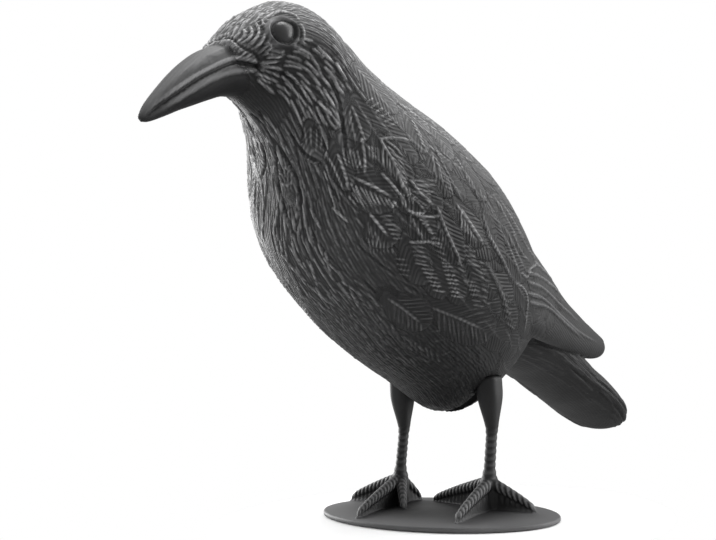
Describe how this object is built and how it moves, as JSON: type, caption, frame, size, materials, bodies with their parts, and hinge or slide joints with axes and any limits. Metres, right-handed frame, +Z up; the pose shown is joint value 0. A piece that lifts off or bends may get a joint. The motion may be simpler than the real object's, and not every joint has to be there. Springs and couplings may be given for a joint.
{
  "type": "crow decoy",
  "caption": "Life-size black plastic crow decoy with moulded feathers, standing on its own oval foot plate with ringed legs and notched toes.",
  "frame": {"origin": "middle of the foot plate's underside, on the surface that the decoy stands on", "axes": "+Z up, -Y towards the beak, +X towards the bird's left"},
  "size_m": [0.139, 0.408, 0.2487],
  "materials": {
    "bird_plastic": "satin blow-moulded plastic with carved feathers",
    "stand_plastic": "satin injection-moulded plastic"
  },
  "bodies": {
    "root": {"crow_body": "bird_plastic", "leg_stand": "stand_plastic"}
  },
  "joints": []
}
